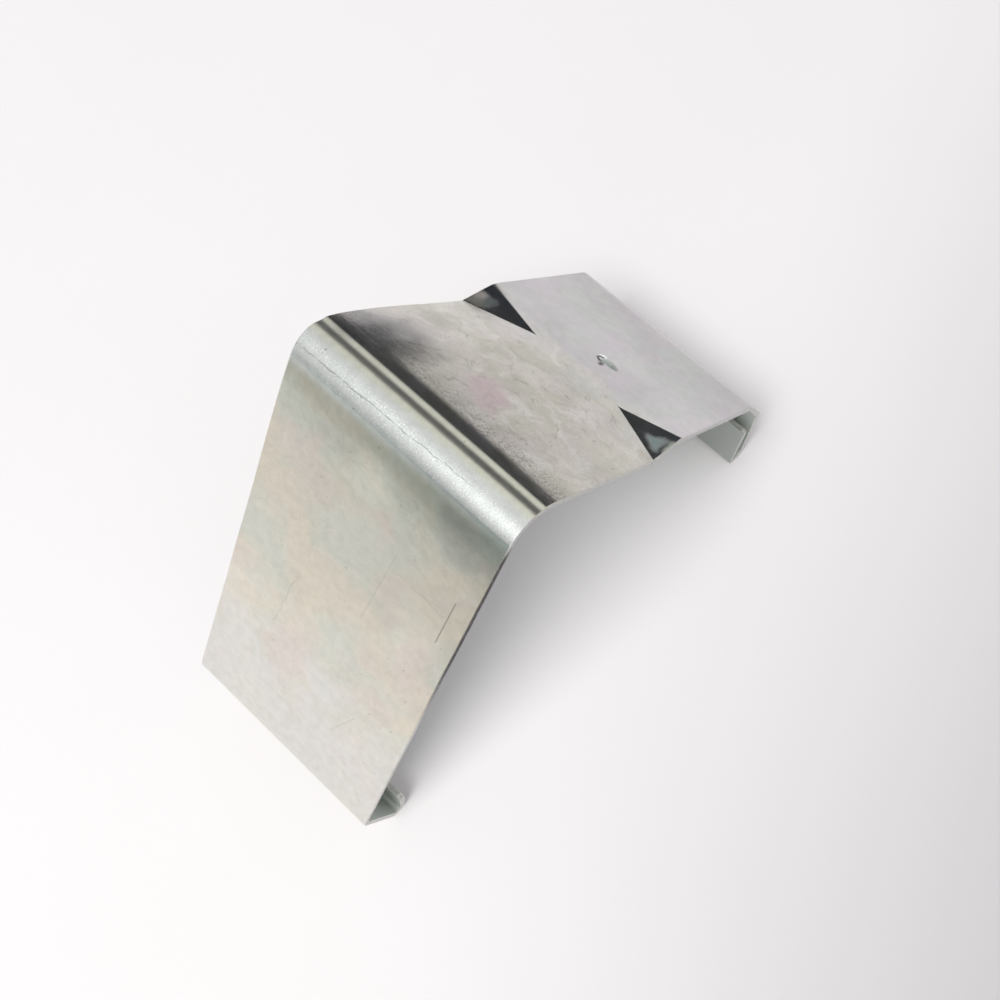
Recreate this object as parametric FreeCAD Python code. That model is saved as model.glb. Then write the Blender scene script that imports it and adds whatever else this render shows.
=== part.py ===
import FreeCAD, Part
import os
import math

# Spring-steel crate clip: one strip of sheet, folded into a tent shape with a
# J-shaped hook on each end.  Millimetres, +Z up.  The clip stands on its two
# hooks on the plane z = 0, its long direction along X (leg at -X, top panel
# running down to +X) and its width along Y.  The origin is the middle of the
# footprint: bbox centre in X and Y, lowest point in Z.

# ----------------------------------------------------------- driving sizes
WIDTH = 38.0            # width of the strip (Y)
T = 1.0                 # sheet thickness

LEG_HEADING = 62.85     # leg, measured from the floor, going up
P1_HEADING = -48.25     # upper part of the top panel, at its edges
P2_HEADING = -47.05     # lower part of the top panel
DART_HEADING = -27.45   # edge of the stiffening darts
WALL_A_HEADING = -64.15  # first step of the far hook
WALL_B_HEADING = -91.95  # upright wall of the far hook
LEG_WALL_HEADING = 109.05  # wall of the leg's hook, going up to the leg

# lengths on the outer surface, from virtual corner to virtual corner
LEG_LEN = 78.3          # leg's hook corner -> main bend corner
P1_LEN = 41.3           # main bend corner -> start of the darts
DART_LEN = 7.86         # edge of a dart
P2_LEN = 34.0           # end of the darts -> first far hook corner
WALL_A_LEN = 10.6       # first far hook corner -> second far hook corner
WALL_B_STRAIGHT = 13.35  # straight run from the second corner's bend to the U
LIP2_LEN = 10.2         # straight lip of the far hook
LEG_WALL_STRAIGHT = 13.4  # straight run from the U to the leg's hook corner
LIP1_LEN = 5.8          # straight lip of the leg's hook

# outer bend radii
R_MAIN = 4.4
R_LEG_HOOK = 4.0
R_FAR_A = 9.0
R_FAR_B = 3.0
U1_OUTER = 1.65         # U fold of the leg's hook, outer radius
U1_TURN = 158.0         # its turn, so that the lip opens a little
U2_OUTER = 2.2          # U fold of the far hook, outer radius
U2_TURN = 186.0         # its turn, so that the lip closes a little

# darts: between them the panel runs straight through, so its upper part is
# crowned and its lower part is slightly troughed; the panel's surfaces are
# ruled to the darts' straight edges
DART_DEPTH = 9.6        # from the strip's -Y edge to that dart's apex
DART_DEPTH_FAR = 11.4   # the same for the dart at the +Y edge
APEX_H = 1.55           # apex above the plane of the upper panel's edges
APEX_H_FAR = 1.97       # the same for the dart at the +Y edge
APEX_ARCH = 0.12        # arch of the line between the two apexes
STUB = 1.5              # flat stretch of the lower panel before its bend
CORNER_R = 0.9          # rounded corners of the lips

# small raised pip pressed into the lower part of the panel
PIP_FROM_DART = 6.6     # along the panel from the end of the darts
PIP_Y = 17.6            # from the strip's edge, a little off the middle
PIP_LEN = 5.4
PIP_R = 0.85
PIP_SINK = 0.42

V = FreeCAD.Vector


# ------------------------------------------------- profile in the XZ plane
def unit(deg):
    a = math.radians(deg)
    return (math.cos(a), math.sin(a))


def left(deg):
    a = math.radians(deg)
    return (-math.sin(a), math.cos(a))


class Path:
    """Follows the outer surface of the strip; every bend turns right."""

    def __init__(self, x, z, heading):
        self.p = (x, z)
        self.h = heading
        self.segs = []

    def line(self, length):
        u, n, p = unit(self.h), left(self.h), self.p
        q = (p[0] + u[0] * length, p[1] + u[1] * length)
        a2 = (p[0] - n[0] * T, p[1] - n[1] * T)
        b2 = (q[0] - n[0] * T, q[1] - n[1] * T)
        self.segs.append(("L", p, q, a2, b2))
        self.p = q
        return self

    def bend(self, radius, turn):
        """Right-hand bend: outer radius, turn in degrees."""
        n, p = left(self.h), self.p
        c = (p[0] - n[0] * radius, p[1] - n[1] * radius)

        def at(rad, ang):
            m = left(self.h - ang)
            return (c[0] + m[0] * rad, c[1] + m[1] * rad)

        ri = radius - T
        self.segs.append(
            (
                "A",
                p,
                at(radius, turn),
                at(ri, 0.0),
                at(ri, turn),
                at(radius, turn / 2.0),
                at(ri, turn / 2.0),
            )
        )
        self.p = at(radius, turn)
        self.h -= turn
        return self


def pt(q, y=0.0):
    return V(q[0], y, q[1])


def strip_solid(segs):
    """Constant-section piece of the strip: both skins, closed and extruded."""
    edges = []
    for s in segs:
        if s[0] == "L":
            edges.append(Part.LineSegment(pt(s[1]), pt(s[2])).toShape())
        else:
            edges.append(Part.Arc(pt(s[1]), pt(s[5]), pt(s[2])).toShape())
    edges.append(Part.LineSegment(pt(segs[-1][2]), pt(segs[-1][4])).toShape())
    for s in reversed(segs):
        if s[0] == "L":
            edges.append(Part.LineSegment(pt(s[4]), pt(s[3])).toShape())
        else:
            edges.append(Part.Arc(pt(s[4]), pt(s[6]), pt(s[3])).toShape())
    edges.append(Part.LineSegment(pt(segs[0][3]), pt(segs[0][1])).toShape())
    face = Part.Face(Part.Wire(edges))
    return face.extrude(V(0, WIDTH, 0))


def setback(radius, turn):
    return radius * math.tan(math.radians(turn) / 2.0)


turn_leg = LEG_WALL_HEADING - LEG_HEADING
turn_main = LEG_HEADING - P1_HEADING
turn_a = P2_HEADING - WALL_A_HEADING
turn_b = WALL_A_HEADING - WALL_B_HEADING

# first stretch: lip, U fold, wall, hook corner, leg, main bend
path1 = Path(0.0, 0.0, LEG_WALL_HEADING + U1_TURN - 360.0)
path1.line(LIP1_LEN)
path1.bend(U1_OUTER, U1_TURN)
path1.h = LEG_WALL_HEADING
path1.line(LEG_WALL_STRAIGHT)
path1.bend(R_LEG_HOOK, turn_leg)
path1.line(LEG_LEN - setback(R_LEG_HOOK, turn_leg) - setback(R_MAIN, turn_main))
path1.bend(R_MAIN, turn_main)
main_end = path1.p

# panel frame: s along the edges of the upper panel, h along its normal
u1, n1 = unit(P1_HEADING), left(P1_HEADING)
S0 = setback(R_MAIN, turn_main)             # end of the main bend
SB1 = P1_LEN
rel = math.radians(DART_HEADING - P1_HEADING)
SB2 = SB1 + DART_LEN * math.cos(rel)
HB2 = DART_LEN * math.sin(rel)
SA = 0.5 * (SB1 + SB2)
slope2 = math.tan(math.radians(P2_HEADING - P1_HEADING))


def panel(s, y, h):
    d = s - S0
    return V(
        main_end[0] + u1[0] * d + n1[0] * h,
        y,
        main_end[1] + u1[1] * d + n1[1] * h,
    )


# end of the lofted lower panel, at the flat stretch before the hook's bend
L2 = P2_LEN - setback(R_FAR_A, turn_a) - STUB
S3 = SB2 + L2 * math.cos(math.radians(P2_HEADING - P1_HEADING))
H3 = HB2 + L2 * math.sin(math.radians(P2_HEADING - P1_HEADING))

NQ = 9  # points of a cross curve


def cross(s, y0, y1, h0, h1, arch):
    """Points of an arched cross section from (y0, h0) to (y1, h1)."""
    out = []
    for i in range(NQ):
        k = i / (NQ - 1.0)
        y = y0 + (y1 - y0) * k
        g = 1.0 - (2.0 * k - 1.0) ** 2
        out.append((s, y, h0 + (h1 - h0) * k + arch * g))
    return out


def section_wire(pts):
    """Closed section: arched outer curve and the same curve one T lower."""
    top = [panel(s, y, h) for s, y, h in pts]
    bot = [panel(s, y, h - T) for s, y, h in pts]

    def curve(points):
        c = Part.BSplineCurve()
        c.interpolate(
            Points=points,
            Parameters=[i / (NQ - 1.0) for i in range(NQ)],
        )
        return c.toShape()

    a, b = curve(top), curve(list(reversed(bot)))
    return Part.Wire(
        [
            a,
            Part.LineSegment(top[-1], bot[-1]).toShape(),
            b,
            Part.LineSegment(bot[0], top[0]).toShape(),
        ]
    )


Y_A, Y_B = DART_DEPTH, WIDTH - DART_DEPTH_FAR   # the two apexes


def edge_wire(p, q):
    """Closed four-sided section from (s, y, h) p to q, one T thick."""
    pts = [
        panel(*p),
        panel(*q),
        panel(q[0], q[1], q[2] - T),
        panel(p[0], p[1], p[2] - T),
    ]
    return Part.makePolygon(pts + [pts[0]])


# between the darts: straight from the main bend to the line of the apexes, and
# straight on to the flat stretch before the hook
w0 = section_wire(cross(S0, Y_A, Y_B, 0.0, 0.0, 0.0))
wa = section_wire(cross(SA, Y_A, Y_B, APEX_H, APEX_H_FAR, APEX_ARCH))
w3 = section_wire(cross(S3, Y_A, Y_B, H3, H3, 0.0))
panels = [Part.makeLoft([w0, wa], True, True), Part.makeLoft([wa, w3], True, True)]

# beside the darts: ruled from the main bend to a dart's upper edge, and from
# its lower edge to the flat stretch
for y0, y1, top in ((0.0, Y_A, APEX_H), (WIDTH, Y_B, APEX_H_FAR)):
    apex = (SA, y1, top)
    above = [edge_wire((S0, y0, 0.0), (S0, y1, 0.0)), edge_wire((SB1, y0, 0.0), apex)]
    below = [edge_wire((SB2, y0, HB2), apex), edge_wire((S3, y0, H3), (S3, y1, H3))]
    panels += [Part.makeLoft(above, True, True), Part.makeLoft(below, True, True)]


def dart(y_edge, y_apex, h_apex):
    """Flat triangular facet of the dart, one sheet thick."""
    p = [panel(SB1, y_edge, 0.0), panel(SB2, y_edge, HB2), panel(SA, y_apex, h_apex)]
    q = [
        panel(SB1, y_edge, -T),
        panel(SB2, y_edge, HB2 - T),
        panel(SA, y_apex, h_apex - T),
    ]

    def poly(*pts):
        return Part.Face(Part.makePolygon(list(pts) + [pts[0]]))

    faces = [poly(*p), poly(*q)]
    for i in range(3):
        j = (i + 1) % 3
        faces.append(poly(p[i], p[j], q[j], q[i]))
    shell = Part.Shell(faces)
    shell.sewShape()
    s = Part.Solid(shell)
    if s.Volume < 0:
        s.reverse()
    return s


darts = [
    dart(0.0, DART_DEPTH, APEX_H),
    dart(WIDTH, WIDTH - DART_DEPTH_FAR, APEX_H_FAR),
]

# second stretch: end of the lower panel, stepped wall, U fold, lip.  Its first
# section is cut along the upper panel's normal, so that it meets the loft.
b2 = panel(S3, 0.0, H3)
path2 = Path(b2.x, b2.z, P2_HEADING)
path2.line(STUB)
path2.bend(R_FAR_A, turn_a)
path2.line(WALL_A_LEN - setback(R_FAR_A, turn_a) - setback(R_FAR_B, turn_b))
path2.bend(R_FAR_B, turn_b)
path2.line(WALL_B_STRAIGHT)
path2.bend(U2_OUTER, U2_TURN)
path2.line(LIP2_LEN)
first = list(path2.segs[0])
b2i = panel(S3, 0.0, H3 - T)
# inner corner of the first section, slid along the inner skin
u2 = unit(P2_HEADING)
n2 = left(P2_HEADING)
k = (b2i.x - first[3][0]) * u2[0] + (b2i.z - first[3][1]) * u2[1]
first[3] = (first[3][0] + u2[0] * k, first[3][1] + u2[1] * k)
path2.segs[0] = tuple(first)

lower = strip_solid(path2.segs)
stretch1 = strip_solid(path1.segs)

body = stretch1.fuse(panels + [lower] + darts, 0.002)
body = body.removeSplitter()


# ------------------------------------------------------ rounded lip corners
def round_tip(shape, seg_pts, r):
    """Rounds the two free corners of a lip: seg_pts are the four profile
    points of the lip's free end (outer, inner) and a heading inwards."""
    (ox, oz), (ix, iz), (hx, hz) = seg_pts
    for y_edge, sy in ((0.0, 1.0), (WIDTH, -1.0)):
        # square notch minus a quarter disc, taken through the thickness
        nx, nz = ix - ox, iz - oz
        ln = math.hypot(nx, nz)
        nx, nz = nx / ln, nz / ln
        o = V(ox - nx * 0.5 - hx * 0.5, y_edge - sy * 0.5, oz - nz * 0.5 - hz * 0.5)
        eh, ey, en = V(hx, 0, hz), V(0, sy, 0), V(nx, 0, nz)
        a = o
        b = o + eh * (0.5 + r)
        c = b + ey * (0.5 + r)
        d = o + ey * (0.5 + r)
        block = Part.Face(Part.makePolygon([a, b, c, d, a])).extrude(en * (ln + 1.0))
        disc = Part.makeCylinder(r, ln + 3.0, c - en * 1.0, en)
        shape = shape.cut(block.cut(disc))
    return shape


s0 = path1.segs[0]
h0 = unit(LEG_WALL_HEADING + U1_TURN - 360.0)
body = round_tip(body, (s0[1], s0[3], h0), CORNER_R)
s9 = path2.segs[-1]
h9 = unit(path2.h + 180.0)
body = round_tip(body, (s9[2], s9[4], h9), CORNER_R)

# ---------------------------------------------------------------- raised pip
sp = SB2 + PIP_FROM_DART
k = (PIP_Y - Y_A) / (Y_B - Y_A)
ha = APEX_H + (APEX_H_FAR - APEX_H) * k + APEX_ARCH * (1.0 - (2.0 * k - 1.0) ** 2)
hp = ha + (H3 - ha) * (sp - SA) / (S3 - SA)
cp = panel(sp, PIP_Y, hp)
nn = V(n2[0], 0, n2[1])
base = cp - nn * PIP_SINK
half = PIP_LEN / 2.0
arc = Part.Arc(
    base + V(0, -half, 0), base + nn * PIP_R, base + V(0, half, 0)
).toShape()
chord = Part.LineSegment(base + V(0, half, 0), base + V(0, -half, 0)).toShape()
pip = Part.Face(Part.Wire([arc, chord])).revolve(base, V(0, 1, 0), 360)
if pip.Volume < 0:
    pip.reverse()
body = body.fuse(pip)

# --------------------------------------------- stand it on z = 0, centre it
bb = body.BoundBox
body.translate(
    V(-(bb.XMin + bb.XMax) / 2.0, -(bb.YMin + bb.YMax) / 2.0, -bb.ZMin)
)
if body.ShapeType == "Compound" and len(body.Solids) == 1:
    body = body.Solids[0]

os.makedirs("parts", exist_ok=True)
body.exportStep("parts/clip_body.step")
bb = body.BoundBox
print("solids", len(body.Solids), "valid", body.isValid(), "closed", body.isClosed())
print("volume %.1f mm3" % body.Volume, "faces", len(body.Faces))
print("box X %.2f Y %.2f Z %.2f" % (bb.XLength, bb.YLength, bb.ZLength))
print("box min", bb.XMin, bb.YMin, bb.ZMin, "max", bb.XMax, bb.YMax, bb.ZMax)
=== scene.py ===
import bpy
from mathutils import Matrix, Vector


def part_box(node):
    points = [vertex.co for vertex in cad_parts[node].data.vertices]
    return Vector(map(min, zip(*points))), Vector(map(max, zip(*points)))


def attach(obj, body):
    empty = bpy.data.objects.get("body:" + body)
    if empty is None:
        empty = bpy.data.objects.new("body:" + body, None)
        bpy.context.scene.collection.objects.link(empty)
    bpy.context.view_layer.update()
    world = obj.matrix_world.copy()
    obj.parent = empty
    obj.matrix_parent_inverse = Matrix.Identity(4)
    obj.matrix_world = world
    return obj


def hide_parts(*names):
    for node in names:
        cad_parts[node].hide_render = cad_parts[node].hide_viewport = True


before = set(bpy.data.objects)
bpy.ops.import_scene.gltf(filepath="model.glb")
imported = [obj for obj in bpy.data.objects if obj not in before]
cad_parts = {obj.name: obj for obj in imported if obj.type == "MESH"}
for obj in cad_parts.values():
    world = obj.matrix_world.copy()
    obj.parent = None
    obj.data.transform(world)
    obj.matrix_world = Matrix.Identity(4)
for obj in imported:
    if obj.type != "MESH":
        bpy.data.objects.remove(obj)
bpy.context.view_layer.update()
import math
import bpy
import numpy as np
from mathutils import Matrix, Vector

# ======================================================================
# 1. The strip.  Everything here is in millimetres until the mesh is made.
#    s runs along the strip's outer surface (0 at the start of the main bend,
#    negative on the leg), y across it (0 at the -Y edge), d is the depth
#    below the outer surface.
# ======================================================================
WIDTH, T = 38.0, 1.0
LEG_H, P1_H, P2_H = 62.85, -48.25, -47.05
DART_H, WALL_A_H, WALL_B_H, LEG_WALL_H = -27.45, -64.15, -91.95, 109.05
LEG_LEN, P1_LEN, DART_LEN, P2_LEN = 78.3, 41.3, 7.86, 34.0
WALL_A_LEN, WALL_B_STRAIGHT, LIP2_LEN = 10.6, 13.35, 10.2
LEG_WALL_STRAIGHT, LIP1_LEN = 13.4, 5.8
R_MAIN, R_LEG_HOOK, R_FAR_A, R_FAR_B = 4.4, 4.0, 9.0, 3.0
U1_OUTER, U1_TURN, U2_OUTER, U2_TURN = 1.65, 158.0, 2.2, 186.0
DART_DEPTH, DART_DEPTH_FAR = 9.6, 11.4
APEX_H, APEX_H_FAR, APEX_ARCH = 1.55, 1.97, 0.12
STUB, CORNER_R = 1.5, 0.9
PIP_FROM_DART, PIP_Y, PIP_LEN, PIP_R, PIP_SINK = 6.6, 17.6, 5.4, 0.85, 0.42


def unit(deg):
    a = math.radians(deg)
    return np.array((math.cos(a), math.sin(a)))


def left(deg):
    a = math.radians(deg)
    return np.array((-math.sin(a), math.cos(a)))


def setback(r, turn):
    return r * math.tan(math.radians(turn) / 2.0)


def smooth(x):
    x = np.clip(x, 0.0, 1.0)
    return x * x * (3.0 - 2.0 * x)


class Walk:
    """Stations along the outer surface: x, z, heading, arc length."""

    def __init__(self, p, h, s=0.0):
        self.p, self.h, self.s = np.array(p, float), h, s
        self.rows = [(self.p[0], self.p[1], self.h, self.s)]

    def line(self, length, steps):
        p0, s0 = self.p, self.s
        for k in steps:
            q = p0 + unit(self.h) * length * k
            self.rows.append((q[0], q[1], self.h, s0 + length * k))
        self.p = p0 + unit(self.h) * length
        self.s = s0 + length
        return self

    def bend(self, r, turn, n):
        c = self.p - left(self.h) * r
        for i in range(1, n + 1):
            a = turn * i / n
            q = c + left(self.h - a) * r
            self.rows.append((q[0], q[1], self.h - a, self.s + r * math.radians(a)))
        self.p = c + left(self.h - turn) * r
        self.h -= turn
        self.s += r * math.radians(turn)
        return self


def even(n):
    return [i / n for i in range(1, n + 1)]


turn_leg, turn_main = LEG_WALL_H - LEG_H, LEG_H - P1_H
turn_a, turn_b = P2_H - WALL_A_H, WALL_A_H - WALL_B_H
S0 = setback(R_MAIN, turn_main)
SB1 = P1_LEN
rel = math.radians(DART_H - P1_H)
SB2 = SB1 + DART_LEN * math.cos(rel)
HB2 = DART_LEN * math.sin(rel)
SA = 0.5 * (SB1 + SB2)
L2 = P2_LEN - setback(R_FAR_A, turn_a) - STUB
S3 = SB2 + L2 * math.cos(math.radians(P2_H - P1_H))
H3 = HB2 + L2 * math.sin(math.radians(P2_H - P1_H))
H_MID = 0.5 * (APEX_H + APEX_H_FAR) + APEX_ARCH
H_B1_MID = H_MID * (SB1 - S0) / (SA - S0)
H_B2_MID = H_MID + (H3 - H_MID) * (SB2 - SA) / (S3 - SA)
LB = R_MAIN * math.radians(turn_main)
OFF = LB - S0                       # s = panel coordinate + OFF

leg_run = LEG_LEN - setback(R_LEG_HOOK, turn_leg) - S0
k1 = [0.62 * k for k in even(62)] + [0.62 + 0.38 * k for k in even(76)]
one = Walk((0.0, 0.0), LEG_WALL_H + U1_TURN - 360.0)
one.line(LIP1_LEN, [0.03, 0.06, 0.09, 0.12, 0.16] + [0.16 + 0.84 * k for k in even(8)])
one.bend(U1_OUTER, U1_TURN, 26)
one.h = LEG_WALL_H
one.line(LEG_WALL_STRAIGHT, even(16))
one.bend(R_LEG_HOOK, turn_leg, 20)
one.line(leg_run, k1)
start_of_bend = one.s
one.bend(R_MAIN, turn_main, 78)
rows1 = [(x, z, h, s - start_of_bend) for x, z, h, s in one.rows]
end1 = np.array(rows1[-1][:2])
u1, n1 = unit(P1_H), left(P1_H)


def panel_xz(s, h):
    return end1[None, :] + u1[None, :] * (s - S0)[:, None] + n1[None, :] * h[:, None]


def h_line(y):
    """Height along a dart's edge and, between the apexes, along their line."""
    y0, y1 = DART_DEPTH, WIDTH - DART_DEPTH_FAR
    k = (y - y0) / (y1 - y0)
    mid = APEX_H + (APEX_H_FAR - APEX_H) * k + APEX_ARCH * (1.0 - (2 * k - 1.0) ** 2)
    return np.clip(k, 0, 1), mid


def s_edges(y):
    """Stations of the darts' upper and lower edges at y."""
    f = np.maximum(1 - y / DART_DEPTH, 1 - (WIDTH - y) / DART_DEPTH_FAR)
    f = np.maximum(f, 0.0)
    return SA - (SA - SB1) * f, SA + (SB2 - SA) * f, f


def h_edge(y, lower):
    k, mid = h_line(y)
    end = HB2 if lower else 0.0
    near, far = y / DART_DEPTH, (WIDTH - y) / DART_DEPTH_FAR
    out = np.where(near < 1, end + (APEX_H - end) * near, mid)
    return np.where(far < 1, end + (APEX_H_FAR - end) * far, out)


def h_upper(s, y):
    a, b, f = s_edges(y)
    return h_edge(y, False) * (s - S0) / (a - S0)


def h_lower(s, y):
    a, b, f = s_edges(y)
    h = h_edge(y, True)
    return h + (H3 - h) * (s - b) / (S3 - b)


def h_raw(s, y):
    h = np.where(s < SA, h_upper(s, y), h_lower(s, y))
    a = HB2 / (SB2 - SB1)
    for yy, depth, top in (
        (y, DART_DEPTH, APEX_H),
        (WIDTH - y, DART_DEPTH_FAR, APEX_H_FAR),
    ):
        f = yy / depth
        inside = (f < 1) & (s > SB1 + (SA - SB1) * f) & (s < SB2 - (SB2 - SA) * f)
        b = (top - a * (SA - SB1)) / depth
        h = np.where(inside, a * (s - SB1) + b * yy, h)
    return h


def h_panel(s, y):
    """Height with softly rounded creases round the darts."""
    c = 0.20 + 0.16 * smooth((s - SA) / 1.5)
    c = c + 1.3 * smooth((s - SA) / 3.4) * smooth((y - 31.0) / 7.0)
    out, total = 0.0, 0.0
    for i in range(-6, 7):
        for j, wj in ((-1, 0.25), (0, 0.5), (1, 0.25)):
            w = (1.0 - abs(i) / 7.0) * wj
            out = out + w * h_raw(s + c * i / 6.0, y + 0.45 * j)
            total += w
    return out / total


# ------------------------------------------------- rows of the dart zone
def graded(n, lo, hi, power=1.0):
    """0..1 in n steps, finer at both ends (lo, hi < 1 = share of plain step)."""
    k = np.linspace(0, 1, n + 1)
    w = np.interp(k, [0, 0.12, 0.88, 1], [lo, 1, 1, hi])
    c = np.concatenate([[0], np.cumsum(0.5 * (w[1:] + w[:-1]))])
    return list((c / c[-1])[1:])


GAP = 0.3


def frac(y):
    near = np.clip(1 - y / DART_DEPTH, 0, 1)
    far = np.clip(1 - (WIDTH - y) / DART_DEPTH_FAR, 0, 1)
    return near + far                      # 1 at the edges, 0 between the darts


def s_left(y):
    return SA - GAP / 2 - (SA - GAP / 2 - SB1) * frac(y)


def s_right(y):
    return SA + GAP / 2 + (SB2 - SA - GAP / 2) * frac(y)


rows_p = []
head = [i * 0.15 for i in range(1, 41)]                   # first 6 mm
run = SB1 - S0
rest = run - 6.0
mid = [6.0 + (rest - 2.4) * k for k in even(46)]
tail = [run - 2.4 + 2.4 * k for k in even(16)]
for v in head + mid + tail:
    rows_p.append(("U", v / run))
for v in graded(44, 0.35, 0.35):
    rows_p.append(("D", v))
low_run = S3 - SB2
first = [2.6 * k for k in even(18)]
pre = [2.6 + 1.4 * k for k in even(4)]
pipz = [4.0 + 5.2 * k for k in even(34)]
after = [9.2 + (low_run - 9.2) * k for k in even(38)]
for v in first + pre + pipz + after:
    rows_p.append(("L", v / low_run))


def panel_s(kind, v, y):
    a, b = s_left(y), s_right(y)
    if kind == "U":
        return S0 + (a - S0) * v
    if kind == "D":
        return a + (b - a) * v
    return b + (S3 - b) * v


two = Walk(panel_xz(np.array([S3]), np.array([H3]))[0], P2_H, S3 + OFF)
two.line(STUB, even(3))
two.bend(R_FAR_A, turn_a, 16)
two.line(WALL_A_LEN - setback(R_FAR_A, turn_a) - setback(R_FAR_B, turn_b), even(8))
two.bend(R_FAR_B, turn_b, 12)
two.line(WALL_B_STRAIGHT, even(16))
two.bend(U2_OUTER, U2_TURN, 40)
two.line(
    LIP2_LEN,
    [0.90 * k for k in even(12)] + [0.925, 0.945, 0.96, 0.975, 0.985],
)
tip_s = two.s
S_A_BEND = S3 + OFF + STUB


# ---------------------------------------------------- gentle bends of the sheet
def wave(s, y, seed, scale):
    """Slow smooth undulation, about -1..1."""
    r = np.random.RandomState(seed)
    out = 0.0
    for _ in range(7):
        a = r.uniform(0, 2 * math.pi)
        f = r.uniform(0.6, 1.5) / scale
        out = out + np.sin((s * math.cos(a) + y * math.sin(a)) * f + r.uniform(0, 6.28))
    return out / 4.0


GRID = np.arange(-40.0, 40.0, 0.02)


def table(points, tail):
    """Offset whose slope runs through the given (x, slope) points.  It starts
    at 0 and is brought back to 0 along the tail."""
    xs, gs = [q[0] for q in points], [q[1] for q in points]
    g = np.interp(GRID, xs, gs, left=0.0, right=0.0)
    k = np.exp(-0.5 * (np.arange(-25, 26) / 8.0) ** 2)
    g = np.convolve(g, k / k.sum(), mode="same")
    f = np.concatenate([[0.0], np.cumsum(0.5 * (g[1:] + g[:-1]) * 0.02)])
    return f - f[-1] * smooth((GRID - tail[0]) / (tail[1] - tail[0]))


# just before and after the end of the main bend (x from its tangent): a tool
# groove, a ridge, and a softly rising start of the upper panel
END_BEND = table(
    [
        (-4.2, 0.0), (-3.7, -0.08), (-3.25, -0.22), (-2.95, -0.275), (-2.65, -0.245),
        (-2.2, -0.16), (-1.75, -0.045), (-1.4, 0.11), (-1.15, 0.22), (-0.85, 0.27),
        (-0.55, 0.24), (-0.3, 0.185), (0.0, 0.15), (0.5, 0.12), (1.4, 0.10), (2.2, 0.035),
        (3.0, 0.0),
    ],
    (4.0, 32.0),
)
END_NEAR = table([(1.5, 0.0), (3.0, 0.035), (5.0, 0.02), (8.0, 0.0)], (8.0, 30.0))
END_FAR = table([(1.5, 0.0), (2.6, 0.075), (6.5, 0.068), (9.5, 0.040), (13.0, 0.0)], (13.0, 34.0))
# the leg just below the main bend (x measured down the leg)
LEG_TOP = table(
    [(-3.2, 0.0), (-1.6, -0.03), (0.0, 0.035), (1.0, 0.055), (3.0, 0.035), (5.0, 0.0)], (6.0, 34.0)
)


def shift(s, y):
    """Offset of the whole sheet along its normal, mm."""
    e = 1.0 - y / WIDTH
    x = s - LB
    at = lambda tab, v: np.interp(v, GRID, tab, left=0.0, right=0.0)
    out = at(END_BEND, x)
    out = out + at(END_NEAR, x) * smooth((9.0 - y) / 9.0)
    out = out + at(END_FAR, x) * smooth((y - 25.0) / 6.0) * (1 - 0.6 * smooth((y - 34.0) / 4.0))
    out = out + at(LEG_TOP, -s) * (1.0 - 0.5 * e)
    # slow waves of the flats
    flat = smooth((-s - 1.0) / 8.0) * smooth((s + 70.0) / 8.0)
    out = out + flat * (0.070 * wave(s, y, 3, 5.5) + 0.030 * wave(s, y, 5, 2.6))
    flat = smooth((s - LB - 2.0) / 6.0) * smooth((SB1 + OFF - s - 1.0) / 6.0)
    out = out + 0.022 * flat * wave(s, y, 8, 5.0)
    flat = smooth((s - SB2 - OFF - 2.0) / 6.0) * smooth((S3 + OFF - s) / 6.0)
    out = out + 0.012 * flat * wave(s, y, 12, 6.0)
    # the pressed darts are not quite flat
    mid = SA + OFF
    out = out - 0.11 * np.exp(-(((s - mid - 0.6) / 1.5) ** 2) - ((y - 1.2) / 2.0) ** 2)
    out = out + 0.05 * np.exp(-(((s - mid + 1.0) / 1.1) ** 2) - ((y - 35.0) / 2.6) ** 2)
    return out


def outer_only(s, y):
    """Features pressed into the outer skin, mm."""
    # raised pip, a little uneven along its length
    pip = 0.0
    for oy, rs, ryy, h, k in ((1.2, 1.25, 0.85, 0.40, 2.5), (-0.35, 1.0, 1.10, 0.10, 1.0), (-1.45, 1.0, 0.80, 0.06, 1.0)):
        r2 = ((s - (SB2 + PIP_FROM_DART + OFF)) / rs) ** 2 + ((y - PIP_Y - oy) / ryy) ** 2
        pip = pip + h * np.maximum(1.0 - r2**k, 0.0) ** 1.5
    return pip


# ----------------------------------------------------------- ring template
RO, RI = 0.14, 0.08
cols = [0.05, 0.14, 0.3, 0.55, 0.9, 1.4, 2.0]
y_mid = list(np.arange(2.6, 13.9, 0.6)) + list(np.arange(14.2, 21.2, 0.2)) + list(
    np.arange(21.6, 35.8, 0.6)
)
outer_y = [RO + c for c in cols] + y_mid + [WIDTH - RO - c for c in reversed(cols)]
inner_y = [RI + 0.06, RI + 0.4] + list(np.linspace(1.4, WIDTH - 1.4, 31)) + [
    WIDTH - RI - 0.4,
    WIDTH - RI - 0.06,
]
ring = []                                     # (y, d)
for a in (90, 67, 45, 22, 0):                 # corner at y = 0, outer
    r = math.radians(a)
    ring.append((RO * (1 - math.sin(r)), RO * (1 - math.cos(r))))
ring += [(y, 0.0) for y in outer_y]
for a in (0, 22, 45, 67, 90):
    r = math.radians(a)
    ring.append((WIDTH - RO * (1 - math.sin(r)), RO * (1 - math.cos(r))))
ring += [(WIDTH, d) for d in (0.19, 0.4, 0.65, T - RI - 0.05)]
for a in (90, 45, 0):
    r = math.radians(a)
    ring.append((WIDTH - RI * (1 - math.sin(r)), T - RI * (1 - math.cos(r))))
ring += [(y, T) for y in reversed(inner_y)]
for a in (0, 45, 90):
    r = math.radians(a)
    ring.append((RI * (1 - math.sin(r)), T - RI * (1 - math.cos(r))))
ring += [(0.0, d) for d in (T - RI - 0.05, 0.65, 0.4, 0.19)]
ry = np.array([p[0] for p in ring])
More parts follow.
